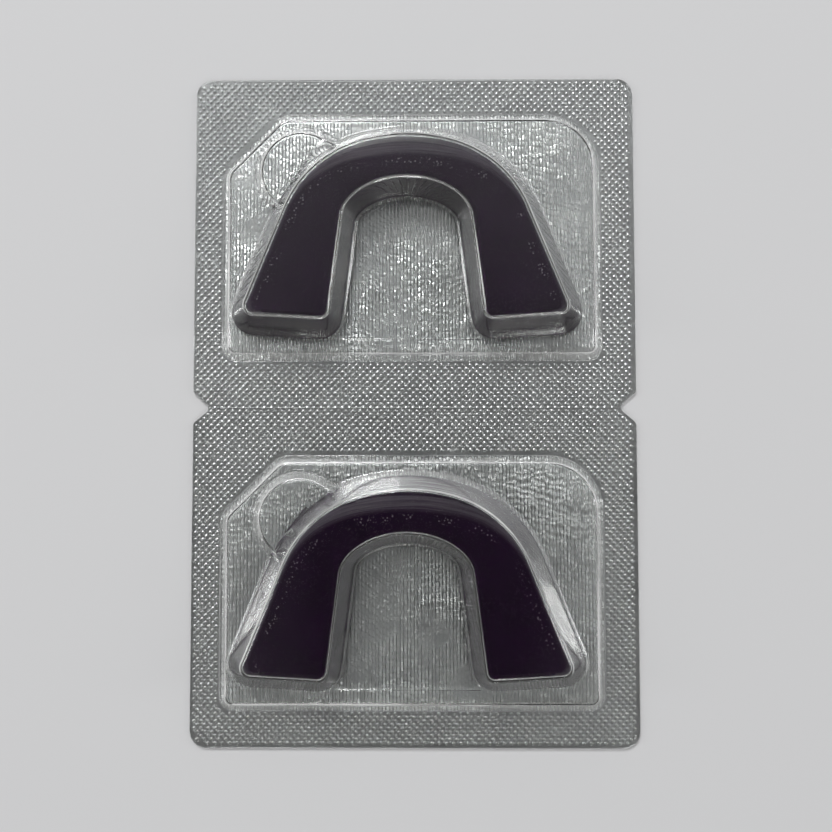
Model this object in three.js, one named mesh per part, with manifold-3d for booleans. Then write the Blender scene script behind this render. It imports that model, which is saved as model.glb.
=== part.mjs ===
// Twin blister pack holding two U-shaped mouthguards. Millimetres, +Z up.
// The pack lies on its foil: foil underside at z = 0, tear line along X at y = 0.
import * as THREE from 'three';
import { mergeVertices } from 'three/addons/utils/BufferGeometryUtils.js';
import Module from 'manifold-3d';

const wasm = await Module();
wasm.setup();

// Card (seal flange and lidding foil)
const CARD_W = 88;
const CARD_L = 133;
const CARD_R = 3.3;
const TEAR_GAP = 0.1;
const NOTCH_HALF = 3.1;
const NOTCH_REACH = 3.6;
const NOTCH_TIP_R = 1.1;
const NOTCH_SHOULDER_R = 1.2;
const FOIL_T = 0.2;
const SEAL_GAP = 0.02;
const FILM_T = 0.4;
const FLANGE_Z = FOIL_T + SEAL_GAP;
const FLANGE_TOP = FLANGE_Z + FILM_T;

// Tray: shallow raised plateau of each pocket, one corner chamfered
const PACK_PITCH = 68.7;
const TRAY_LEFT = -36.9;
const TRAY_RIGHT = 35.9;
const TRAY_LOW = 10.75;
const TRAY_HIGH = 57.75;
const TRAY_TOP = 2.1;
const TRAY_DRAFT = 1.4;
const TRAY_CHAMFER = 10.8;
const TRAY_BIG_R = 9.6;
const TRAY_SMALL_R = 1.4;
const TRAY_CHAMFER_R = 3;

// U-shaped pocket, sizes at its top face
const U_X = -1.4;
const U_TOP = 9.4;
const ARCH_TOP = 52.75;
const ARCH_R1 = 34;
const ARCH_A1 = 14;
const ARCH_R2 = 22.6;
const LEG_ANGLE = 67.7;
const LEG_END_IN = 16.35;
const LEG_END_SLOPE = 0.062;
const LEG_END_X = 14.9;
const INNER_HALF = 12.34;
const INNER_Y = 36.8;
const INNER_RISE = 7.2;
const INNER_SLOPE = 0.126;
const CORNER_R = 2;
const DRAFT_OUT = 3.3;
const DRAFT_IN = 2;
const DRAFT_END = 3.1;

// Small roundings as [height from the base or top face, change of offset]
const POCKET_FILLET = [[0, 0.64], [0.08, 0.31], [0.28, 0.08], [0.6, 0]];
const POCKET_EDGE = [[0.45, 0], [0.2, -0.03], [0.05, -0.13], [0, -0.32]];
const TRAY_FILLET = [[0, 0.2], [0.05, 0.11], [0.2, 0]];
const TRAY_EDGE = [[0.2, 0], [0.07, -0.04], [0, -0.22]];

// Lowered floor between the legs
const FLOOR_DROP = 0.35;
const FLOOR_LOW = 13.9;
const FLOOR_HALF = 13.9;

// Finger well beside the arch
const WELL_X = -22.4;
const WELL_Y = 46.8;
const WELL_R = 7.85;
const WELL_DRAFT = 1.75;
const WELL_TOP = 4.1;
const WELL_RUN = 9;
const WELL_A1 = 61;
const WELL_A2 = 223;

// Mouthguard: flat face up, bite channel open towards the foil
const GUARD_TOP = 8.75;
const GUARD_LOW = 0.7;
const GUARD_EDGE = 7.75;
const GUARD_GAP = 0.13;
const GUARD_GAP_IN = 0.36;
const GUARD_CROWN = 1.2;
const CHANNEL_TOP = 5.9;
const CHANNEL_OUT = 2.7;
const CHANNEL_IN = 2.25;
const CHANNEL_END = 2.4;

const DEG = Math.PI / 180;

// Polygon whose corners [x, y, radius] are rounded with short chords.
function roundedPolygon(corners, steps = 7) {
  const points = [];
  const count = corners.length;
  for (let i = 0; i < count; i += 1) {
    const [px, py] = corners[(i + count - 1) % count];
    const [x, y, radius] = corners[i];
    const [nx, ny] = corners[(i + 1) % count];
    if (!radius) {
      points.push([x, y]);
      continue;
    }
    const inLength = Math.hypot(px - x, py - y);
    const outLength = Math.hypot(nx - x, ny - y);
    const ax = (px - x) / inLength;
    const ay = (py - y) / inLength;
    const bx = (nx - x) / outLength;
    const by = (ny - y) / outLength;
    const half = Math.acos(ax * bx + ay * by) / 2;
    const reach = radius / Math.tan(half);
    const midLength = Math.hypot(ax + bx, ay + by);
    const cx = x + ((ax + bx) / midLength) * (radius / Math.sin(half));
    const cy = y + ((ay + by) / midLength) * (radius / Math.sin(half));
    const start = Math.atan2(y + ay * reach - cy, x + ax * reach - cx);
    let sweep = Math.atan2(y + by * reach - cy, x + bx * reach - cx) - start;
    sweep -= Math.round(sweep / (2 * Math.PI)) * 2 * Math.PI;
    for (let k = 0; k <= steps; k += 1) {
      const angle = start + (sweep * k) / steps;
      points.push([cx + radius * Math.cos(angle), cy + radius * Math.sin(angle)]);
    }
  }
  return points;
}

// Solid through a stack of outlines { z, points } with equal point counts.
function loft(levels) {
  const count = levels[0].points.length;
  const positions = [];
  const index = [];
  levels.forEach(({ z, points }) => points.forEach(([x, y]) => positions.push(x, y, z)));
  for (let level = 0; level < levels.length - 1; level += 1) {
    for (let i = 0; i < count; i += 1) {
      const a = level * count + i;
      const b = level * count + ((i + 1) % count);
      index.push(a, b, b + count, a, b + count, a + count);
    }
  }
  const last = (levels.length - 1) * count;
  const outline = (points) => points.map(([x, y]) => new THREE.Vector2(x, y));
  THREE.ShapeUtils.triangulateShape(outline(levels[0].points), []).forEach(([a, b, c]) => {
    index.push(c, b, a);
  });
  THREE.ShapeUtils.triangulateShape(outline(levels.at(-1).points), []).forEach(([a, b, c]) => {
    index.push(last + a, last + b, last + c);
  });
  const geometry = new THREE.BufferGeometry();
  geometry.setAttribute('position', new THREE.Float32BufferAttribute(positions, 3));
  geometry.setIndex(index);
  return solid(geometry);
}

function solid(geometry) {
  const clean = mergeVertices(geometry, 1e-5);
  return new wasm.Manifold(new wasm.Mesh({
    numProp: 3,
    vertProperties: new Float32Array(clean.attributes.position.array),
    triVerts: new Uint32Array(clean.index.array),
  }));
}

function slab(points, low, high) {
  return loft([{ z: low, points }, { z: high, points }]);
}

function block(x0, x1, y0, y1, z0, z1) {
  return slab([[x0, y0], [x1, y0], [x1, y1], [x0, y1]], z0, z1);
}

function cardOutline() {
  const w = CARD_W / 2;
  const l = CARD_L / 2;
  const tip = w - NOTCH_REACH;
  return roundedPolygon([
    [w, -l, CARD_R],
    [w, -NOTCH_HALF, NOTCH_SHOULDER_R],
    [tip, 0, NOTCH_TIP_R],
    [w, NOTCH_HALF, NOTCH_SHOULDER_R],
    [w, l, CARD_R],
    [-w, l, CARD_R],
    [-w, NOTCH_HALF, NOTCH_SHOULDER_R],
    [-tip, 0, NOTCH_TIP_R],
    [-w, -NOTCH_HALF, NOTCH_SHOULDER_R],
    [-w, -l, CARD_R],
  ]);
}

// Tray outline grown outwards by "grow".
function trayOutline(grow) {
  const left = TRAY_LEFT - grow;
  const right = TRAY_RIGHT + grow;
  const low = TRAY_LOW - grow;
  const high = TRAY_HIGH + grow;
  const cut = TRAY_CHAMFER + grow * (2 - Math.SQRT2);
  return roundedPolygon([
    [left, low, TRAY_SMALL_R + grow],
    [right, low, TRAY_SMALL_R + grow],
    [right, high, TRAY_BIG_R + grow],
    [left + cut, high, TRAY_CHAMFER_R + grow],
    [left, high - cut, TRAY_CHAMFER_R + grow],
  ], 9);
}

// U outline grown by separate amounts on the outer side, inner side and leg ends.
// "crown" takes more off the outer side at the middle of the arch than on the legs.
function uOutline(outer, inner, end, corner, crown = 0) {
  const leg = LEG_ANGLE * DEG;
  const a1 = ARCH_A1 * DEG;
  const half = [];
  const r1 = ARCH_R1 + outer;
  const r2 = ARCH_R2 + outer;
  const cy1 = ARCH_TOP - ARCH_R1;
  const cx2 = (ARCH_R1 - ARCH_R2) * Math.sin(a1);
  const cy2 = cy1 + (ARCH_R1 - ARCH_R2) * Math.cos(a1);
  for (let k = 0; k <= 5; k += 1) {
    const t = (a1 * k) / 5;
    const r = r1 - crown * Math.cos(t) ** 3;
    half.push([r * Math.sin(t), cy1 + r * Math.cos(t)]);
  }
  for (let k = 1; k <= 16; k += 1) {
    const t = a1 + ((leg - a1) * k) / 16;
    const r = r2 - crown * Math.cos(t) ** 3;
    half.push([cx2 + r * Math.sin(t), cy2 + r * Math.cos(t)]);
  }
  const [ox, oy] = half.at(-1);
  const slope = Math.cos(leg) / Math.sin(leg);
  const endY = (x) => LEG_END_IN - end + LEG_END_SLOPE * (x - LEG_END_X);
  const innerX = (y) => INNER_HALF - INNER_SLOPE * (y - INNER_Y) - inner;
  // Corner where the outer side meets the leg end, and where the inner side does.
  const cornerX = (ox + slope * (oy - endY(0))) / (1 + slope * LEG_END_SLOPE);
  const outerCorner = [cornerX, endY(cornerX), corner];
  const nearX = (innerX(0) - INNER_SLOPE * endY(0)) / (1 + INNER_SLOPE * LEG_END_SLOPE);
  const innerCorner = [nearX, endY(nearX), corner];
  const corners = roundedPolygon([
    [ox, oy, 0],
    outerCorner,
    innerCorner,
    [innerX(INNER_Y), INNER_Y, 0],
  ], 6);
  half.push(...corners.slice(1, -1));
  const rise = INNER_RISE - inner;
  for (let k = 0; k < 12; k += 1) {
    const t = (k / 12) * 90 * DEG;
    const y = INNER_Y + rise * Math.sin(t);
    half.push([innerX(y) * Math.cos(t), y]);
  }
  half.push([0, INNER_Y + rise]);
  const mirrored = half.slice(1, -1).reverse().map(([x, y]) => [-x, y]);
  return [...half, ...mirrored].reverse().map(([x, y]) => [x + U_X, y]);
}

function wellOutline(grow) {
  const points = [];
  const radius = WELL_R + grow;
  for (let k = 0; k <= 22; k += 1) {
    const t = (WELL_A1 + ((WELL_A2 - WELL_A1) * k) / 22) * DEG;
    points.push([WELL_X + radius * Math.cos(t), WELL_Y + radius * Math.sin(t)]);
  }
  const [lowX, lowY] = points.at(-1);
  const lowDir = (WELL_A2 + 90) * DEG;
  points.push([lowX + WELL_RUN * Math.cos(lowDir), lowY + WELL_RUN * Math.sin(lowDir)]);
  const [highX, highY] = points[0];
  const highDir = (WELL_A1 - 90) * DEG;
  points.push([highX + WELL_RUN * Math.cos(highDir), highY + WELL_RUN * Math.sin(highDir)]);
  return points;
}

// Pocket outline at height z: straight draft, "flare" more at the base or less at the top.
function pocketLevel(z, flare, inset) {
  const share = (U_TOP - z) / (U_TOP - TRAY_TOP);
  return {
    z: z - inset,
    points: uOutline(
      DRAFT_OUT * share + flare - inset,
      DRAFT_IN * share + flare - inset,
      DRAFT_END * share + flare - inset,
      CORNER_R + 2.6 * share + flare - inset,
    ),
  };
}

function pocketFoot(inset) {
  return pocketLevel(TRAY_TOP, POCKET_FILLET[0][1], inset).points;
}

function pocket(inset) {
  return loft([
    { z: TRAY_TOP - 0.6 - inset, points: pocketFoot(inset) },
    ...POCKET_FILLET.map(([rise, flare]) => pocketLevel(TRAY_TOP + rise, flare, inset)),
    ...POCKET_EDGE.map(([drop, flare]) => pocketLevel(U_TOP - drop, flare, inset)),
  ]);
}

function tray(inset) {
  const wallAt = (z) => TRAY_DRAFT * ((TRAY_TOP - z) / (TRAY_TOP - FLANGE_TOP));
  const foot = trayOutline(wallAt(FLANGE_TOP) + TRAY_FILLET[0][1] - inset);
  const level = (z, flare) => ({ z: z - inset, points: trayOutline(wallAt(z) + flare - inset) });
  return loft([
    { z: inset ? -1 : FLANGE_Z, points: foot },
    ...TRAY_FILLET.map(([rise, flare]) => level(FLANGE_TOP + rise, flare)),
    ...TRAY_EDGE.map(([drop, flare]) => level(TRAY_TOP - drop, flare)),
  ]);
}

function well(inset) {
  const wallAt = (z) => WELL_DRAFT * ((WELL_TOP - z) / (WELL_TOP - TRAY_TOP));
  const foot = wellOutline(WELL_DRAFT + TRAY_FILLET[0][1] - inset);
  const level = (z, flare) => ({ z: z - inset, points: wellOutline(wallAt(z) + flare - inset) });
  return loft([
    { z: TRAY_TOP - 0.6 - inset, points: foot },
    ...TRAY_FILLET.map(([rise, flare]) => level(TRAY_TOP + rise, flare)),
    ...TRAY_EDGE.map(([drop, flare]) => level(WELL_TOP - drop, flare)),
  ]);
}

// Floor panel between the legs, down to the drop line.
function floorPanel(grow, low, high) {
  const half = FLOOR_HALF + grow;
  return block(U_X - half, U_X + half, FLOOR_LOW - grow, INNER_Y + INNER_RISE, low, high);
}

function pocketShell() {
  const outer = tray(0)
    .subtract(floorPanel(0, TRAY_TOP - FLOOR_DROP, TRAY_TOP + 1))
    .add(pocket(0))
    .add(well(0));
  const inner = tray(FILM_T)
    .subtract(floorPanel(FILM_T, TRAY_TOP - FLOOR_DROP - FILM_T, TRAY_TOP + 1))
    .add(pocket(FILM_T).add(pocketRoom()))
    .add(well(FILM_T));
  return { outer, inner };
}

// Room under the U pocket, so the hollow reaches the open back.
function pocketRoom() {
  return slab(pocketFoot(FILM_T), -1, TRAY_TOP - 0.6 - FILM_T + 0.01);
}

const card = cardOutline();
const upperSide = block(-60, 60, TEAR_GAP / 2, 80, -2, 20);
const lowerSide = block(-60, 60, -80, -TEAR_GAP / 2, -2, 20);
const flange = slab(card, FLANGE_Z, FLANGE_TOP);
const foil = slab(card, 0, FOIL_T);
const shell = pocketShell();

function film(side, shift) {
  return flange
    .intersect(side)
    .add(shell.outer.translate([0, shift, 0]))
    .subtract(shell.inner.translate([0, shift, 0]));
}

function guard() {
  const gap = GUARD_GAP;
  const near = GUARD_GAP_IN;
  const crown = GUARD_CROWN;
  // Sides follow the draft of the pocket down to the open edge.
  const rise = GUARD_EDGE - GUARD_LOW - 0.5;
  const out = (DRAFT_OUT / (U_TOP - TRAY_TOP)) * rise - gap;
  const into = (DRAFT_IN / (U_TOP - TRAY_TOP)) * rise - near;
  const low = (DRAFT_END / (U_TOP - TRAY_TOP)) * rise - gap;
  const body = loft([
    { z: GUARD_LOW, points: uOutline(out - 0.2, into - 0.3, low - 0.3, 4, 0.6) },
    { z: GUARD_LOW + 0.5, points: uOutline(out, into, low, 4.2, 0.6) },
    { z: GUARD_EDGE, points: uOutline(-gap, -near, -gap, CORNER_R, crown) },
    {
      z: GUARD_TOP - 0.3,
      points: uOutline(-gap - 0.25, -near - 0.35, -gap - 0.5, CORNER_R - 0.2, crown + 1.05),
    },
    {
      z: GUARD_TOP,
      points: uOutline(-gap - 0.6, -near - 1, -gap - 1.2, CORNER_R - 0.5, crown + 2),
    },
  ]);
  const channel = loft([
    { z: GUARD_LOW - 1, points: uOutline(0.4 - CHANNEL_OUT, 0.3 - CHANNEL_IN, 0.4 - CHANNEL_END, 1) },
    { z: CHANNEL_TOP - 0.6, points: uOutline(-CHANNEL_OUT, -CHANNEL_IN, -CHANNEL_END, 1) },
    {
      z: CHANNEL_TOP,
      points: uOutline(-CHANNEL_OUT - 0.6, -CHANNEL_IN - 0.5, -CHANNEL_END - 0.5, 1),
    },
  ]);
  return body.subtract(channel);
}

function mesh(name, shape, material) {
  const raw = shape.getMesh();
  const geometry = new THREE.BufferGeometry();
  geometry.setAttribute('position', new THREE.BufferAttribute(raw.vertProperties, 3));
  geometry.setIndex(new THREE.BufferAttribute(raw.triVerts, 1));
  const result = new THREE.Mesh(geometry, material);
  result.name = name;
  return result;
}

const clearFilm = new THREE.MeshStandardMaterial({
  color: 0xd7dadb, roughness: 0.12, metalness: 0, transparent: true, opacity: 0.3,
});
const silverFoil = new THREE.MeshStandardMaterial({
  color: 0xb4b7b9, roughness: 0.35, metalness: 0.9,
});
const darkPurple = new THREE.MeshStandardMaterial({
  color: 0x231722, roughness: 0.45, metalness: 0,
});

const mouthguard = guard();
const pack = new THREE.Group();
pack.name = 'twin_blister_mouthguard_pack';
pack.add(mesh('upper_film', film(upperSide, 0), clearFilm));
pack.add(mesh('lower_film', film(lowerSide, -PACK_PITCH), clearFilm));
pack.add(mesh('upper_foil', foil.intersect(upperSide), silverFoil));
pack.add(mesh('lower_foil', foil.intersect(lowerSide), silverFoil));
pack.add(mesh('upper_mouthguard', mouthguard, darkPurple));
pack.add(mesh('lower_mouthguard', mouthguard.translate([0, -PACK_PITCH, 0]), darkPurple));

export default pack;
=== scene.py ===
import math

import bpy
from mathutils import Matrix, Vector
from mathutils.kdtree import KDTree


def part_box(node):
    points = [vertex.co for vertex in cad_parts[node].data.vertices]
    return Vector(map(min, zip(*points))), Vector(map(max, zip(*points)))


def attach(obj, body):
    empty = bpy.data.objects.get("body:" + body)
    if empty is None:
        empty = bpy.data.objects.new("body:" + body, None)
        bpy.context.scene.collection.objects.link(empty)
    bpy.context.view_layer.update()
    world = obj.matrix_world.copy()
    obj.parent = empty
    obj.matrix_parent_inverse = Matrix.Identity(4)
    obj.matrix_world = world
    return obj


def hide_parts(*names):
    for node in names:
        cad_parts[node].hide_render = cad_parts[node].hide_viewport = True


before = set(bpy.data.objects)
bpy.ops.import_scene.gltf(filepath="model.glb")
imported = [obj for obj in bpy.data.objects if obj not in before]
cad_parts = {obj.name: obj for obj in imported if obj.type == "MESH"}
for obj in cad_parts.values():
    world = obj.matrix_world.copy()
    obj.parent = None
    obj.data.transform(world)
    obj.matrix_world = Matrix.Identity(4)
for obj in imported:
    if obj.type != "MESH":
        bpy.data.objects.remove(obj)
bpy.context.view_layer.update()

mm = 0.001


def linear(hexColour):
    # sRGB hex to the linear RGBA that sockets take
    parts = [int(hexColour[i:i + 2], 16) / 255 for i in (0, 2, 4)]
    return [c / 12.92 if c <= 0.04045 else ((c + 0.055) / 1.055) ** 2.4 for c in parts] + [1]


def addNode(tree, kind, links=None, **settings):
    # one node: plain settings go on it, sockets by name or index come in links
    node = tree.nodes.new(kind)
    for name, value in settings.items():
        setattr(node, name, value)
    for name, value in (links or {}).items():
        if isinstance(value, bpy.types.NodeSocket):
            tree.links.new(value, node.inputs[name])
        else:
            node.inputs[name].default_value = value
    return node


def startMaterial(name):
    material = bpy.data.materials.new(name)
    material.use_nodes = True
    tree = material.node_tree
    return material, tree, tree.nodes["Principled BSDF"]


def pick(piece):
    # only this piece selected and active
    bpy.ops.object.select_all(action="DESELECT")
    piece.select_set(True)
    bpy.context.view_layer.objects.active = piece


def copyOfNode(nodeName, pieceName):
    # merged copy of a frame part, free of its body, to be worked on
    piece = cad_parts[nodeName].copy()
    piece.data = piece.data.copy()
    piece.name = piece.data.name = pieceName
    piece.parent = None
    piece.hide_viewport = piece.hide_render = False
    for key in list(piece.keys()):
        del piece[key]
    bpy.context.scene.collection.objects.link(piece)
    pick(piece)
    bpy.ops.object.mode_set(mode="EDIT")
    bpy.ops.mesh.select_all(action="SELECT")
    bpy.ops.mesh.remove_doubles(threshold=0.004 * mm)
    bpy.ops.mesh.normals_make_consistent(inside=False)
    bpy.ops.mesh.select_all(action="DESELECT")
    bpy.ops.object.mode_set(mode="OBJECT")
    return piece


def selectVerts(piece, test):
    # object mode: vertices whose place passes the test, nothing else
    bpy.ops.object.mode_set(mode="EDIT")
    bpy.ops.mesh.select_mode(type="VERT")
    bpy.ops.mesh.select_all(action="DESELECT")
    bpy.ops.object.mode_set(mode="OBJECT")
    piece.data.vertices.foreach_set("select", [test(v.co) for v in piece.data.vertices])


def applyModifier(piece, kind, **settings):
    pick(piece)
    modifier = piece.modifiers.new(kind.lower(), kind)
    for name, value in settings.items():
        setattr(modifier, name, value)
    bpy.ops.object.modifier_apply(modifier=modifier.name)


def smooth(piece, degrees):
    pick(piece)
    bpy.ops.object.shade_smooth_by_angle(angle=math.radians(degrees))


def giveMaterial(piece, material):
    piece.data.materials.clear()
    piece.data.materials.append(material)


def closeTearLine(piece):
    # the web between the two packs stays whole until it is torn, so both halves meet
    selectVerts(piece, lambda co: abs(co.y) < 0.06 * mm)
    side = 1 if sum(v.co.y for v in piece.data.vertices) > 0 else -1
    bpy.ops.object.mode_set(mode="EDIT")
    bpy.ops.transform.translate(value=(0, -side * 0.045 * mm, 0))
    bpy.ops.object.mode_set(mode="OBJECT")


# Clear film: thermoformed PVC sheet, glossy, a little wavy from the mould
filmSettings = {
    "ior": 1.53,
    "haze": 0.6,  # how milky the formed edges are
    "hazeLevels": (  # height of a formed edge in mm, share of the haze
        (9.35, 0.9), (9.2, 0.9), (8.95, 0.45),  # pocket top
        (4.03, 1), (3.9, 0.5),  # finger well
        (2.7, 0.35), (2.38, 0.35), (2.18, 0.4),  # pocket foot
        (2.03, 1), (1.9, 0.5),  # tray edge
        (0.67, 0.5),  # tray foot
    ),
    "levelReach": 0.012,  # mm, a vertex this near belongs to the level
    "trayTop": 2.1,  # mm
    "flangeTop": 0.62,  # mm
    "innerShare": 0.25,  # the inner side of the arch is stretched less
    "wallLevels": (8.95, 2.7),  # the drafted walls are milky at the front of the arch only
    "sideShare": 0.2,  # and this much as milky elsewhere
    "streakHeight": 0.5,  # mm between the rings left on the walls
    "tint": "fcfdfc",
    "roughness": 0.03,
    "waveSize": 9,  # mm between soft swells
    "waveHeight": 0.03,  # mm
    "smoothAngle": 42,  # degrees
}


def clearPvcMaterial():
    # thermoformed PVC: glass-clear with faint swells that bend the highlights
    material, tree, shader = startMaterial("thermoformed_clear_pvc")
    shader.inputs["Base Color"].default_value = linear(filmSettings["tint"])
    shader.inputs["IOR"].default_value = filmSettings["ior"]
    shader.inputs["Roughness"].default_value = filmSettings["roughness"]
    # the stretched edges of the mould are slightly milky and catch the light
    edge = addNode(tree, "ShaderNodeAttribute", attribute_name="edgeHaze")
    place = addNode(tree, "ShaderNodeTexCoord")
    level = addNode(tree, "ShaderNodeMapping", {
        "Vector": place.outputs["Object"],
        "Scale": (60, 60, 1 / (filmSettings["streakHeight"] * mm)),  # flat, so the noise lies in rings
    })
    rings = addNode(tree, "ShaderNodeTexNoise", {"Vector": level.outputs[0], "Scale": 1, "Detail": 1})
    ringShare = addNode(tree, "ShaderNodeMapRange", {
        "Value": rings.outputs["Fac"], "From Min": 0.35, "From Max": 0.65,
        "To Min": 0.55, "To Max": 1.25,
    })
    milky = addNode(tree, "ShaderNodeMath", {0: edge.outputs["Fac"], 1: ringShare.outputs[0]},
                    operation="MULTIPLY")
    clear = addNode(tree, "ShaderNodeMapRange", {
        "Value": milky.outputs[0], "To Min": 1, "To Max": 1 - filmSettings["haze"],
    })
    tree.links.new(clear.outputs[0], shader.inputs["Transmission Weight"])
    swell = addNode(tree, "ShaderNodeTexNoise", {
        "Vector": place.outputs["Object"], "Scale": 1 / (filmSettings["waveSize"] * mm), "Detail": 1,
    })
    bump = addNode(tree, "ShaderNodeBump", {
        "Height": swell.outputs["Fac"], "Strength": 1, "Distance": filmSettings["waveHeight"] * mm,
    })
    tree.links.new(bump.outputs["Normal"], shader.inputs["Normal"])
    return material


def atLevel(v, level):
    return abs(v.co.z - level * mm) < filmSettings["levelReach"] * mm


def facesOutward(place, normal):
    # outer side of the arch or of a leg, not the inner side or a leg end
    return normal.y + math.copysign(normal.x, normal.x * place.x) > 0.2


def markHaze(piece):
    # how milky each formed edge is, for the material to read
    s = filmSettings
    haze = piece.data.attributes.new("edgeHaze", "FLOAT", "POINT")
    for v, value in zip(piece.data.vertices, haze.data):
        share = max([share for level, share in s["hazeLevels"] if atLevel(v, level)], default=0)
        if v.co.z > s["trayTop"] * mm and not facesOutward(v.co, v.normal):
            share *= s["innerShare"]
        if any(atLevel(v, level) for level in s["wallLevels"]):
            front = max(0, v.normal.xy.normalized().y) ** 2
            share *= s["sideShare"] + (1 - s["sideShare"]) * front
        value.value = share


def filmShell(side, material):
    piece = copyOfNode(side + "_film", side + "_film_shell")
    closeTearLine(piece)
    markHaze(piece)
    smooth(piece, filmSettings["smoothAngle"])
    applyModifier(piece, "WEIGHTED_NORMAL", mode="FACE_AREA", weight=100, keep_sharp=True)
    giveMaterial(piece, material)
    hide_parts(side + "_film")
    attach(piece, side + "_pack")
    return piece


# Lidding foil: aluminium, knurled where it is sealed, plain and softly creased under the trays
foilSettings = {
    "sheetTop": 0.06,  # mm, valleys of the knurl
    "knurlTop": 0.2,  # mm
    "knurlPitch": 1.0,  # mm along the diagonals
    "knurlFoot": 0.45,  # mm, radius of a stud at its foot
    "knurlSmooth": 45,  # degrees
    "openingLevel": 0.22,  # mm, underside of the film, where the tray opens
    "openingReach": (39.5, 8, 61),  # mm: the opening lies within this x, and beyond and within this y
    "panelTop": 0.2,  # mm
    "panelStep": 1.5,  # mm
    "panelSmooth": 50,  # degrees
    "creaseSize": 16,  # mm
    "creaseHeight": 0.6,  # mm
    "creaseFade": 5,  # mm from the seal to full height
    "cloudSize": 7,  # mm, dull and bright patches
    "cloudHeight": 0.05,  # mm
    "linenPitch": 0.7,  # mm between columns
    "linenLength": 1.2,  # mm, one dash and its gap
    "linenFoot": 0.3,  # share of a dash that rises
    "linenSway": 1.6,  # mm the rows wander
    "linenSwaySize": 2.5,  # mm
    "linenPatch": 17,  # mm, the web is pressed unevenly
    "linenHeight": 0.14,  # mm, drawn this deep to catch the light as the real dashes do
    "knurlTones": ("bcbdbf", "cecfcf"),
    "panelTones": ("dcdddf", "ecedec"),
    "knurlRoughness": 0.34,
    "panelRoughness": 0.43,
    "gapRoughness": 0.17,  # polished gaps between the columns
}


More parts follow.
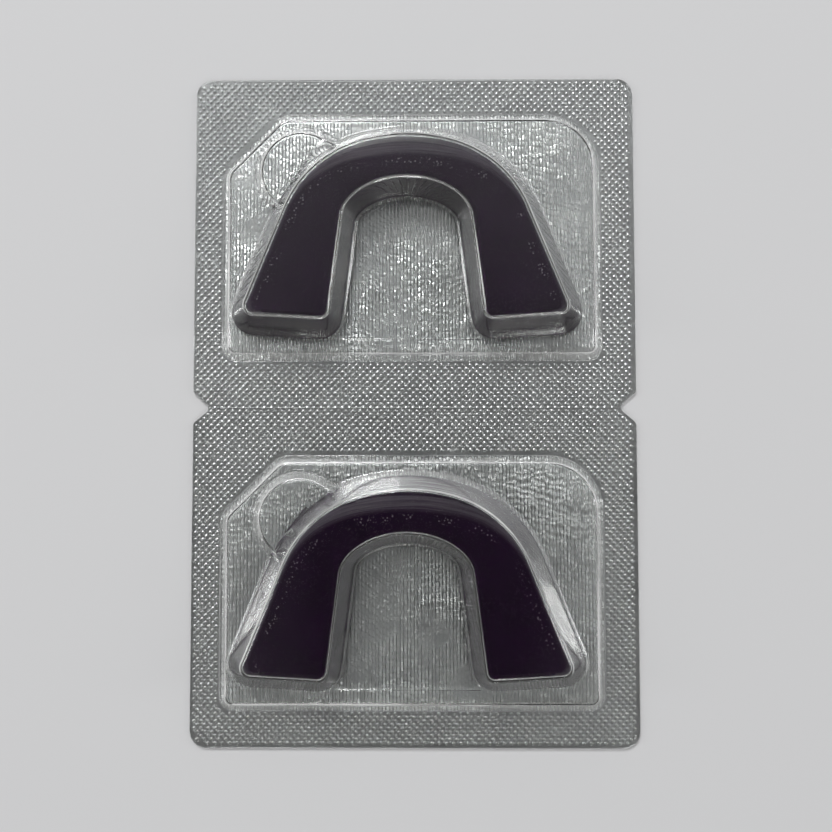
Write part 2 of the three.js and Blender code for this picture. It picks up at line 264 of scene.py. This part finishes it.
def aluminiumFoilMaterial(name, tones, roughness, linen):
    # hard-tempered aluminium foil, matt side out: grey, broad highlights
    material, tree, shader = startMaterial(name)
    s = foilSettings
    shader.inputs["Metallic"].default_value = 1
    place = addNode(tree, "ShaderNodeTexCoord")
    cloud = addNode(tree, "ShaderNodeTexNoise", {
        "Vector": place.outputs["Object"], "Scale": 1 / (s["cloudSize"] * mm), "Detail": 3,
    })
    colour = addNode(tree, "ShaderNodeMix", {
        0: cloud.outputs["Fac"], 6: linear(tones[0]), 7: linear(tones[1]),
    }, data_type="RGBA")
    tree.links.new(colour.outputs[2], shader.inputs["Base Color"])
    rough = addNode(tree, "ShaderNodeMapRange", {
        "Value": cloud.outputs["Fac"], "From Min": 0.3, "From Max": 0.7,
        "To Min": roughness - 0.04, "To Max": roughness + 0.05,
    })
    if linen:
        # columns along the web, pressed in by the roller as short dashes at their own offsets
        split = addNode(tree, "ShaderNodeSeparateXYZ", {0: place.outputs["Object"]})
        across = addNode(tree, "ShaderNodeMath", {0: split.outputs["X"], 1: 1 / (s["linenPitch"] * mm)},
                         operation="MULTIPLY")
        column = addNode(tree, "ShaderNodeMath", {0: across.outputs[0]}, operation="FLOOR")
        offset = addNode(tree, "ShaderNodeTexWhiteNoise", {"W": column.outputs[0]},
                         noise_dimensions="1D")
        wander = addNode(tree, "ShaderNodeTexNoise", {
            "Vector": place.outputs["Object"], "Scale": 1 / (s["linenSwaySize"] * mm), "Detail": 1,
        })
        shift = addNode(tree, "ShaderNodeMath", {
            0: wander.outputs["Fac"], 1: s["linenSway"] / s["linenLength"], 2: offset.outputs["Value"],
        }, operation="MULTIPLY_ADD")
        along = addNode(tree, "ShaderNodeMath", {
            0: split.outputs["Y"], 1: 1 / (s["linenLength"] * mm), 2: shift.outputs[0],
        }, operation="MULTIPLY_ADD")
        row = addNode(tree, "ShaderNodeMath", {0: along.outputs[0]}, operation="FLOOR")
        inRow = addNode(tree, "ShaderNodeMath", {0: along.outputs[0]}, operation="FRACT")
        # each dash: a short steep foot and a long slope
        foot = addNode(tree, "ShaderNodeMath", {0: inRow.outputs[0], 1: 1 / s["linenFoot"]},
                       operation="MULTIPLY")
        slope = addNode(tree, "ShaderNodeMapRange", {
            "Value": inRow.outputs[0], "From Min": s["linenFoot"], "From Max": 1,
            "To Min": 1, "To Max": 0,
        })
        dash = addNode(tree, "ShaderNodeMath", {0: foot.outputs[0], 1: slope.outputs[0]},
                       operation="MINIMUM")
        cell = addNode(tree, "ShaderNodeCombineXYZ", {0: column.outputs[0], 1: row.outputs[0]})
        chance = addNode(tree, "ShaderNodeTexWhiteNoise", {"Vector": cell.outputs[0]},
                         noise_dimensions="2D")
        depth = addNode(tree, "ShaderNodeMapRange", {
            "Value": chance.outputs["Value"], "To Min": 0.3, "To Max": 1.6,
        })
        turn = addNode(tree, "ShaderNodeMath", {0: across.outputs[0], 1: math.pi}, operation="MULTIPLY")
        wave = addNode(tree, "ShaderNodeMath", {0: turn.outputs[0]}, operation="SINE")
        rib = addNode(tree, "ShaderNodeMath", {0: wave.outputs[0]}, operation="ABSOLUTE")
        flatTop = addNode(tree, "ShaderNodeMapRange", {
            "Value": rib.outputs[0], "From Min": 0.3, "From Max": 0.8, "To Min": 0, "To Max": 1,
        })
        deep = addNode(tree, "ShaderNodeMath", {0: dash.outputs[0], 1: depth.outputs[0]},
                       operation="MULTIPLY")
        # matt where a dash stands, polished between the columns
        shown = addNode(tree, "ShaderNodeMapRange", {
            "Value": dash.outputs[0], "From Min": 0, "From Max": 0.5, "To Min": 0.3, "To Max": 1,
        })
        matt = addNode(tree, "ShaderNodeMath", {0: flatTop.outputs[0], 1: shown.outputs[0]},
                       operation="MULTIPLY")
        uneven = addNode(tree, "ShaderNodeTexNoise", {
            "Vector": place.outputs["Object"], "Scale": 1 / (s["linenPatch"] * mm), "Detail": 1,
        })
        pressed = addNode(tree, "ShaderNodeMapRange", {
            "Value": uneven.outputs["Fac"], "From Min": 0.36, "From Max": 0.6,
            "To Min": 0.3, "To Max": 1,
        })
        gapRough = addNode(tree, "ShaderNodeMapRange", {
            "Value": pressed.outputs[0], "To Min": roughness - 0.08, "To Max": s["gapRoughness"],
        })
        roughHere = addNode(tree, "ShaderNodeMapRange", {
            "Value": matt.outputs[0], "To Min": gapRough.outputs[0], "To Max": rough.outputs[0],
        })
        tree.links.new(roughHere.outputs[0], shader.inputs["Roughness"])
        raised = addNode(tree, "ShaderNodeMath", {0: flatTop.outputs[0], 1: deep.outputs[0]},
                         operation="MULTIPLY")
        height = addNode(tree, "ShaderNodeMath", {0: raised.outputs[0], 1: pressed.outputs[0]},
                         operation="MULTIPLY")
        bump = addNode(tree, "ShaderNodeBump", {
            "Height": height.outputs[0], "Strength": 1, "Distance": s["linenHeight"] * mm,
        })
    else:
        tree.links.new(rough.outputs[0], shader.inputs["Roughness"])
        bump = addNode(tree, "ShaderNodeBump", {
            "Height": cloud.outputs["Fac"], "Strength": 1, "Distance": s["cloudHeight"] * mm,
        })
    tree.links.new(bump.outputs["Normal"], shader.inputs["Normal"])
    return material


def knurlField(side, film):
    # domed studs in two interleaved arrays, kept only where the film flange lies flat above them
    s = foilSettings
    sign = 1 if side == "upper" else -1
    half = s["knurlPitch"] * mm / math.sqrt(2)
    low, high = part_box(side + "_foil")
    base = (s["sheetTop"] - 0.01) * mm  # the studs are rooted in the sheet
    top = s["knurlTop"] * mm
    foot = s["knurlFoot"] * mm
    radius = (foot ** 2 + (top - base) ** 2) / (2 * (top - base))  # ball whose cap has that foot
    countX = math.ceil((high.x - low.x) / (2 * half)) + 1
    countY = math.ceil((high.y - low.y) / (2 * half)) + 1
    fields = []
    for shift in (0, 1):
        bpy.ops.object.select_all(action="DESELECT")
        bpy.ops.mesh.primitive_uv_sphere_add(
            segments=8, ring_count=10, radius=radius,
            location=(low.x + shift * half, sign * (shift * half), top - radius),
        )
        stud = bpy.context.object
        bpy.ops.object.transform_apply(location=True, rotation=True, scale=True)
        bpy.ops.object.mode_set(mode="EDIT")
        bpy.ops.mesh.select_all(action="SELECT")
        bpy.ops.mesh.bisect(plane_co=(0, 0, base), plane_no=(0, 0, 1),
                            clear_inner=True, use_fill=True)
        bpy.ops.object.mode_set(mode="OBJECT")
        corners = len(stud.data.vertices)
        for axis, count in ((0, countX), (1, countY)):
            step = [0, 0, 0]
            step[axis] = 2 * half * (1 if axis == 0 else sign)
            applyModifier(stud, "ARRAY", count=count, use_relative_offset=False,
                          use_constant_offset=True, constant_offset_displace=step)
        fields.append(stud)
    bpy.ops.object.select_all(action="DESELECT")
    for stud in fields:
        stud.select_set(True)
    bpy.context.view_layer.objects.active = fields[0]
    bpy.ops.object.join()
    field = bpy.context.object
    bpy.context.view_layer.update()
    keep = {}

    def overFlange(x, y):
        hit, place, normal, face = film.ray_cast(Vector((x, y, 0.05)), Vector((0, 0, -1)))
        return hit and abs(place.z - filmSettings["flangeTop"] * mm) < 0.02 * mm

    def isSealed(x, y):
        key = (round(x / half), round(y / half))
        if key not in keep:
            reach = half * 0.8
            spots = [(0, 0), (reach, 0), (-reach, 0), (0, reach), (0, -reach)]
            if abs(y) < 1.2 * half:  # rows on the tear line are cut, not dropped
                spots = [(0, sign * half * 0.5)]
                spots += [(turn * reach, sign * half * 0.3) for turn in (1, -1)]
            keep[key] = all(overFlange(x + dx, y + dy) for dx, dy in spots)
        return keep[key]

    # all corners of a stud share the answer of its own middle
    coords = [v.co.copy() for v in field.data.vertices]
    drop = []
    for i in range(0, len(coords), corners):
        middle = sum(coords[i:i + corners], Vector()) / corners
        drop += [not isSealed(middle.x, middle.y)] * corners
    pick(field)
    bpy.ops.object.mode_set(mode="EDIT")
    bpy.ops.mesh.select_mode(type="VERT")
    bpy.ops.mesh.select_all(action="DESELECT")
    bpy.ops.object.mode_set(mode="OBJECT")
    field.data.vertices.foreach_set("select", drop)
    bpy.ops.object.mode_set(mode="EDIT")
    bpy.ops.mesh.delete(type="VERT")
    bpy.ops.mesh.select_all(action="SELECT")
    bpy.ops.mesh.bisect(plane_co=(0, sign * 0.005 * mm, 0), plane_no=(0, sign, 0),
                        clear_inner=True, use_fill=True)
    bpy.ops.object.mode_set(mode="OBJECT")
    smooth(field, s["knurlSmooth"])
    return field


def windowPanel(side):
    # plain foil under the tray: the film's own opening, filled, cut in squares and creased
    s = foilSettings
    panel = copyOfNode(side + "_film", side + "_panel")
    low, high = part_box(side + "_film")
    reachX, nearY, farY = [reach * mm for reach in s["openingReach"]]
    selectVerts(panel, lambda co: abs(co.z - s["openingLevel"] * mm) > 0.004 * mm
                or abs(co.x) > reachX or abs(co.y) < nearY or abs(co.y) > farY)
    bpy.ops.object.mode_set(mode="EDIT")
    bpy.ops.mesh.delete(type="VERT")
    bpy.ops.mesh.select_all(action="SELECT")
    bpy.ops.mesh.edge_face_add()
    for axis in (0, 1):
        normal = (1, 0, 0) if axis == 0 else (0, 1, 0)
        place = low[axis] + 2 * mm
        while place < high[axis] - 2 * mm:
            bpy.ops.mesh.select_all(action="SELECT")
            bpy.ops.mesh.bisect(plane_co=[place * n for n in normal], plane_no=normal)
            place += s["panelStep"] * mm
    bpy.ops.mesh.select_all(action="SELECT")
    bpy.ops.transform.translate(value=(0, 0, (s["panelTop"] - s["openingLevel"]) * mm))
    bpy.ops.mesh.extrude_region_move(
        TRANSFORM_OT_translate={"value": (0, 0, -(s["panelTop"] - 0.03) * mm)})
    bpy.ops.mesh.select_all(action="SELECT")
    bpy.ops.mesh.normals_make_consistent(inside=False)
    bpy.ops.object.mode_set(mode="OBJECT")
    return panel


def creasePanel(panel, seed):
    # slow swells of the foil over the cavity, fading out to the seal
    s = foilSettings
    group = panel.vertex_groups.new(name="creases")
    low = Vector([min(v.co[k] for v in panel.data.vertices) for k in range(3)])
    high = Vector([max(v.co[k] for v in panel.data.vertices) for k in range(3)])
    for v in panel.data.vertices:
        edge = min(v.co.x - low.x, high.x - v.co.x, v.co.y - low.y, high.y - v.co.y) / mm
        if v.co.z > 0.1 * mm:
            group.add([v.index], min(1, max(0, (edge - 0.5) / s["creaseFade"])), "REPLACE")
    clouds = bpy.data.textures.new("foil_creases", "CLOUDS")
    clouds.noise_scale = s["creaseSize"] * mm
    clouds.noise_depth = 1
    anchor = bpy.data.objects.new("creaseAnchor", None)
    bpy.context.scene.collection.objects.link(anchor)
    anchor.location = (seed * mm, 0, 0)
    bpy.context.view_layer.update()
    applyModifier(panel, "DISPLACE", texture=clouds, texture_coords="OBJECT",
                  texture_coords_object=anchor, direction="Z", mid_level=0.42,
                  strength=s["creaseHeight"] * mm, vertex_group="creases")
    bpy.data.objects.remove(anchor)


def foilSheet(side, film, materials, seed):
    s = foilSettings
    sheet = copyOfNode(side + "_foil", side + "_foil_sheet")
    closeTearLine(sheet)
    selectVerts(sheet, lambda co: co.z > 0.1 * mm)
    bpy.ops.object.mode_set(mode="EDIT")
    bpy.ops.transform.translate(value=(0, 0, (s["sheetTop"] - 0.2) * mm))
    bpy.ops.object.mode_set(mode="OBJECT")
    field = knurlField(side, film)
    panel = windowPanel(side)
    creasePanel(panel, seed)
    smooth(panel, foilSettings["panelSmooth"])
    bpy.ops.object.select_all(action="DESELECT")
    for part, material in ((field, materials[0]), (panel, materials[1]), (sheet, materials[0])):
        giveMaterial(part, material)
        part.select_set(True)
    bpy.context.view_layer.objects.active = sheet
    bpy.ops.object.join()
    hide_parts(side + "_foil")
    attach(sheet, side + "_lid")
    return sheet


# Mouthguard: moulded EVA rubber, very dark purple, satin
guardSettings = {
    "colour": "1b071f",
    "violet": "2a0c31",
    "roughness": 0.36,
    # painted sheen: this paler grey-violet on the chamfer stands in for the light the chamfer catches
    "chamfer": "5a535d",
    "mark": "a79da9",
    "markSize": 0.62,  # mm between contact marks
    "markLine": 1.5,  # mm in from the outer edge
    "markPatch": 5,  # mm, marks come and go
    "mottleSize": 6,  # mm
    "grainSize": 0.5,  # mm, coarser than the real skin so that it shows
    "grainHeight": 0.01,  # mm
    "streakPitch": 12.5,  # mm along the chamfer
    "streakWidth": 0.25,  # mm across the chamfer
    "edgeRound": 0.25,  # mm
    "edgeStep": 0.2,  # mm between the spots that mark the outer edge
    "chamferReach": 3,  # mm, the chamfer ends within this
    "farAway": 9,  # mm, stands for no edge near
    "gridStep": 1.3,  # mm
    "smoothAngle": 28,  # degrees
}


def evaRubberMaterial():
    # moulded EVA: dark purple, satin skin with faint mottling and tiny contact specks
    material, tree, shader = startMaterial("moulded_eva_dark_purple")
    s = guardSettings
    place = addNode(tree, "ShaderNodeTexCoord")
    mottle = addNode(tree, "ShaderNodeTexNoise", {
        "Vector": place.outputs["Object"], "Scale": 1 / (s["mottleSize"] * mm), "Detail": 4,
    })
    colour = addNode(tree, "ShaderNodeMix", {
        0: mottle.outputs["Fac"], 6: linear(s["colour"]), 7: linear(s["violet"]),
    }, data_type="RGBA")
    # the chamfer is painted paler in streaks, a painted sheen of the light it catches, and the film
    # leaves a row of small marks along the outer edge
    edge = addNode(tree, "ShaderNodeAttribute", attribute_name="edgeDistance")
    lines = addNode(tree, "ShaderNodeMath", {0: edge.outputs["Fac"], 1: 1 / s["streakWidth"]},
                    operation="MULTIPLY")
    pitch = s["streakPitch"] * mm
    side = addNode(tree, "ShaderNodeVectorMath", {
        0: place.outputs["Object"], 1: (1 / pitch, 1 / pitch, 0),
    }, operation="MULTIPLY")
    sideXY = addNode(tree, "ShaderNodeSeparateXYZ", {0: side.outputs[0]})
    streakPlace = addNode(tree, "ShaderNodeCombineXYZ", {
        0: sideXY.outputs[0], 1: sideXY.outputs[1], 2: lines.outputs[0],
    })
    streaks = addNode(tree, "ShaderNodeTexNoise", {
        "Vector": streakPlace.outputs[0], "Scale": 1, "Detail": 2,
    })
    # painted sheen: share of the paler chamfer colour, broken into streaks
    chamferSheenShare = addNode(tree, "ShaderNodeMapRange", {
        "Value": edge.outputs["Fac"], "From Min": 0.5, "From Max": -1.0, "To Min": 0, "To Max": 1,
    })
    streakShare = addNode(tree, "ShaderNodeMapRange", {
        "Value": streaks.outputs["Fac"], "From Min": 0.35, "From Max": 0.65,
        "To Min": 0.45, "To Max": 1.2,
    })
    chamferSheen = addNode(tree, "ShaderNodeMath", {0: chamferSheenShare.outputs[0], 1: streakShare.outputs[0]},
                     operation="MULTIPLY")
    skin = addNode(tree, "ShaderNodeMix", {
        0: chamferSheen.outputs[0], 6: colour.outputs[2], 7: linear(s["chamfer"]),
    }, data_type="RGBA")
    off = addNode(tree, "ShaderNodeMath", {0: edge.outputs["Fac"], 1: s["markLine"]},
                  operation="SUBTRACT")
    away = addNode(tree, "ShaderNodeMath", {0: off.outputs[0]}, operation="ABSOLUTE")
    nearLine = addNode(tree, "ShaderNodeMapRange", {
        "Value": away.outputs[0], "From Min": 0.25, "From Max": 0.9, "To Min": 1, "To Max": 0.1,
    })
    dots = addNode(tree, "ShaderNodeTexVoronoi", {
        "Vector": place.outputs["Object"], "Scale": 1 / (s["markSize"] * mm),
    })
    dot = addNode(tree, "ShaderNodeMapRange", {
        "Value": dots.outputs["Distance"], "From Min": 0.3, "From Max": 0.18, "To Min": 0, "To Max": 1,
    })
    patch = addNode(tree, "ShaderNodeTexNoise", {
        "Vector": place.outputs["Object"], "Scale": 1 / (s["markPatch"] * mm), "Detail": 1,
    })
    some = addNode(tree, "ShaderNodeMapRange", {
        "Value": patch.outputs["Fac"], "From Min": 0.42, "From Max": 0.54, "To Min": 0, "To Max": 0.6,
    })
    here = addNode(tree, "ShaderNodeMath", {0: nearLine.outputs[0], 1: some.outputs[0]},
                   operation="MULTIPLY")
    amount = addNode(tree, "ShaderNodeMath", {0: dot.outputs[0], 1: here.outputs[0]},
                     operation="MULTIPLY")
    spotted = addNode(tree, "ShaderNodeMix", {
        0: amount.outputs[0], 6: skin.outputs[2], 7: linear(s["mark"]),
    }, data_type="RGBA")
    tree.links.new(spotted.outputs[2], shader.inputs["Base Color"])
    shader.inputs["Specular IOR Level"].default_value = 0.12
    grain = addNode(tree, "ShaderNodeTexNoise", {
        "Vector": place.outputs["Object"], "Scale": 1 / (s["grainSize"] * mm), "Detail": 2,
    })
    rough = addNode(tree, "ShaderNodeMapRange", {
        "Value": grain.outputs["Fac"],
        "To Min": s["roughness"] - 0.05, "To Max": s["roughness"] + 0.08,
    })
    tree.links.new(rough.outputs[0], shader.inputs["Roughness"])
    bump = addNode(tree, "ShaderNodeBump", {
        "Height": grain.outputs["Fac"], "Strength": 0.5, "Distance": s["grainHeight"] * mm,
    })
    tree.links.new(bump.outputs["Normal"], shader.inputs["Normal"])
    return material


def cutInSquares(piece, step):
    low = [min(v.co[k] for v in piece.data.vertices) for k in (0, 1)]
    high = [max(v.co[k] for v in piece.data.vertices) for k in (0, 1)]
    pick(piece)
    bpy.ops.object.mode_set(mode="EDIT")
    for axis, normal in ((0, (1, 0, 0)), (1, (0, 1, 0))):
        place = low[axis] + step
        while place < high[axis] - 0.3 * step:
            bpy.ops.mesh.select_all(action="SELECT")
            bpy.ops.mesh.bisect(plane_co=[place * n for n in normal], plane_no=normal)
            place += step
    bpy.ops.object.mode_set(mode="OBJECT")


def markEdgeDistance(piece):
    # mm from the outer edge of the flat top: positive on the flat, negative on the chamfer
    s = guardSettings
    top = max(v.co.z for v in piece.data.vertices) - 0.02 * mm
    rim = {}
    for face in piece.data.polygons:
        flat = all(piece.data.vertices[i].co.z > top for i in face.vertices)
        for key in face.edge_keys:
            rim.setdefault(key, []).append((flat, face))
    spots = []
    for (a, b), sides in rim.items():
        if len({flat for flat, face in sides}) == 2:
            slope = [face for flat, face in sides if not flat][0]
            ends = [piece.data.vertices[i].co for i in (a, b)]
            if facesOutward(ends[0], slope.normal.xy.normalized().to_3d()):
                steps = max(2, int((ends[1] - ends[0]).length / (s["edgeStep"] * mm)))
                spots += [ends[0].lerp(ends[1], k / steps) for k in range(steps + 1)]
    tree = KDTree(len(spots))
    for i, spot in enumerate(spots):
        tree.insert(spot, i)
    tree.balance()
    distance = piece.data.attributes.new("edgeDistance", "FLOAT", "POINT")
    for v, value in zip(piece.data.vertices, distance.data):
        gap = tree.find(v.co)[2] / mm
        value.value = gap if v.co.z > top else -gap if gap < s["chamferReach"] else s["farAway"]


def guardBody(side, material):
    piece = copyOfNode(side + "_mouthguard", side + "_mouthguard_body")
    applyModifier(piece, "BEVEL", width=guardSettings["edgeRound"] * mm, segments=3,
                  limit_method="ANGLE", angle_limit=math.radians(30))
    cutInSquares(piece, guardSettings["gridStep"] * mm)
    markEdgeDistance(piece)
    smooth(piece, guardSettings["smoothAngle"])
    applyModifier(piece, "WEIGHTED_NORMAL", mode="FACE_AREA", weight=100, keep_sharp=True)
    giveMaterial(piece, material)
    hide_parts(side + "_mouthguard")
    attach(piece, side + "_guard")
    return piece


# Stage: pale matt floor, soft room light brighter behind the pack, camera overhead
stageSettings = {
    "floorSize": 6,  # m
    "floorColour": "d2d2d3",
    "cameraPlace": (0.0022958, -0.0129392, 0.2001),
    "cameraTurn": (0.0565, 0.0098, -0.0009),
    "lens": 43.53,
    "roomStrength": 1.0,
    "roomTones": (  # brightness of the room from front (0) to back (1)
        (0.0, 0.3), (0.15, 0.22), (0.4, 0.27), (0.52, 0.32),
        (0.61, 0.34), (0.68, 0.38), (0.85, 0.42), (1.0, 0.4),
    ),
    "roomWarmth": 0.03,
    "ovalMiddle": (0, -0.1, 0),  # dark oval of ceiling overhead
    "ovalReach": (0.3, 0.5),
    "ovalTone": 0.08,
    "lowGlow": 0.4,  # pale walls near the ground
    "softboxes": (  # name, place in m, size in m, power in W
        ("window_behind", (-0.46, 1.52, 1.53), (0.75, 0.65), 31),
        ("strip_left", (-1.8, 0.2, 1.0), (0.16, 1.2), 6),
        ("strip_right", (1.8, 0.2, 1.0), (0.16, 1.2), 6),
        ("strip_front", (0.2, -1.7, 1.1), (1.2, 0.12), 4),
    ),
}


def floorPlane():
    bpy.ops.object.select_all(action="DESELECT")
    size = stageSettings["floorSize"]
    bpy.ops.mesh.primitive_plane_add(size=size, location=(0, 0, -0.02 * mm))
    floor = bpy.context.object
    floor.name = "floor"
    material, tree, shader = startMaterial("pale_matt_paper")
    shader.inputs["Base Color"].default_value = linear(stageSettings["floorColour"])
    shader.inputs["Roughness"].default_value = 0.95
    shader.inputs["Specular IOR Level"].default_value = 0.1
    giveMaterial(floor, material)


def roomLight():
    # soft room: pale walls, brighter behind, and a dark oval of ceiling overhead
    s = stageSettings
    world = bpy.data.worlds.new("soft_room")
    bpy.context.scene.world = world
    world.use_nodes = True
    tree = world.node_tree
    background = tree.nodes["Background"]
    place = addNode(tree, "ShaderNodeTexCoord")
    split = addNode(tree, "ShaderNodeSeparateXYZ", {0: place.outputs["Generated"]})
    across = addNode(tree, "ShaderNodeMapRange", {
        "Value": split.outputs["Y"], "From Min": -1, "From Max": 1, "To Min": 0, "To Max": 1,
    })
    ramp = addNode(tree, "ShaderNodeValToRGB", {0: across.outputs[0]})
    while len(ramp.color_ramp.elements) < len(s["roomTones"]):
        ramp.color_ramp.elements.new(0.5)
    for element, (position, value) in zip(ramp.color_ramp.elements, s["roomTones"]):
        element.position = position
        warm = s["roomWarmth"] * (1 - 2 * position)  # a little warmer in front, cooler behind
        element.color = (value * (1 + warm), value, value * (1 - warm), 1)
    fromTop = addNode(tree, "ShaderNodeVectorMath", {
        0: place.outputs["Generated"], 1: s["ovalMiddle"],
    }, operation="SUBTRACT")
    reachX, reachY = s["ovalReach"]
    oval = addNode(tree, "ShaderNodeVectorMath", {
        0: fromTop.outputs[0], 1: (1 / reachX, 1 / reachY, 0),
    }, operation="MULTIPLY")
    reach = addNode(tree, "ShaderNodeVectorMath", {0: oval.outputs[0]}, operation="LENGTH")
    shade = addNode(tree, "ShaderNodeMapRange", {
        "Value": reach.outputs["Value"], "From Min": 0.35, "From Max": 1,
        "To Min": s["ovalTone"], "To Max": 1,
    })
    roof = addNode(tree, "ShaderNodeVectorMath", {0: ramp.outputs[0], 1: shade.outputs[0]},
                   operation="MULTIPLY")
    low = addNode(tree, "ShaderNodeMapRange", {
        "Value": split.outputs["Z"], "From Min": 0.5, "From Max": 0,
        "To Min": 0, "To Max": s["lowGlow"],
    })
    total = addNode(tree, "ShaderNodeVectorMath", {0: roof.outputs[0], 1: low.outputs[0]},
                    operation="ADD")
    tree.links.new(total.outputs[0], background.inputs["Color"])
    background.inputs["Strength"].default_value = s["roomStrength"]


def softbox(name, place, size, power):
    data = bpy.data.lights.new(name, "AREA")
    data.shape = "RECTANGLE"
    data.size, data.size_y = size
    data.energy = power
    light = bpy.data.objects.new(name, data)
    bpy.context.scene.collection.objects.link(light)
    light.location = place
    light.rotation_euler = (-Vector(place)).to_track_quat("-Z", "Y").to_euler()


def stageCamera():
    data = bpy.data.cameras.new("overhead")
    data.sensor_width = 36
    data.lens = stageSettings["lens"]
    data.clip_start, data.clip_end = 0.01, 20
    camera = bpy.data.objects.new("overhead", data)
    camera.location = stageSettings["cameraPlace"]
    camera.rotation_euler = stageSettings["cameraTurn"]
    bpy.context.scene.collection.objects.link(camera)
    bpy.context.scene.camera = camera


stageCamera()
floorPlane()
roomLight()
for box in stageSettings["softboxes"]:
    softbox(*box)
bpy.context.scene.view_settings.view_transform = "Standard"
print("stage ready")

clearPvc = clearPvcMaterial()
lidFoil = (
    aluminiumFoilMaterial("lidding_foil_sealed", foilSettings["knurlTones"],
                          foilSettings["knurlRoughness"], linen=False),
    aluminiumFoilMaterial("lidding_foil_linen", foilSettings["panelTones"],
                          foilSettings["panelRoughness"], linen=True),
)
evaRubber = evaRubberMaterial()
for side, seed in (("upper", 3), ("lower", 41)):
    film = filmShell(side, clearPvc)
    print(side, "film ready")
    foilSheet(side, film, lidFoil, seed)
    print(side, "foil ready")
    guardBody(side, evaRubber)
    print(side, "mouthguard ready")
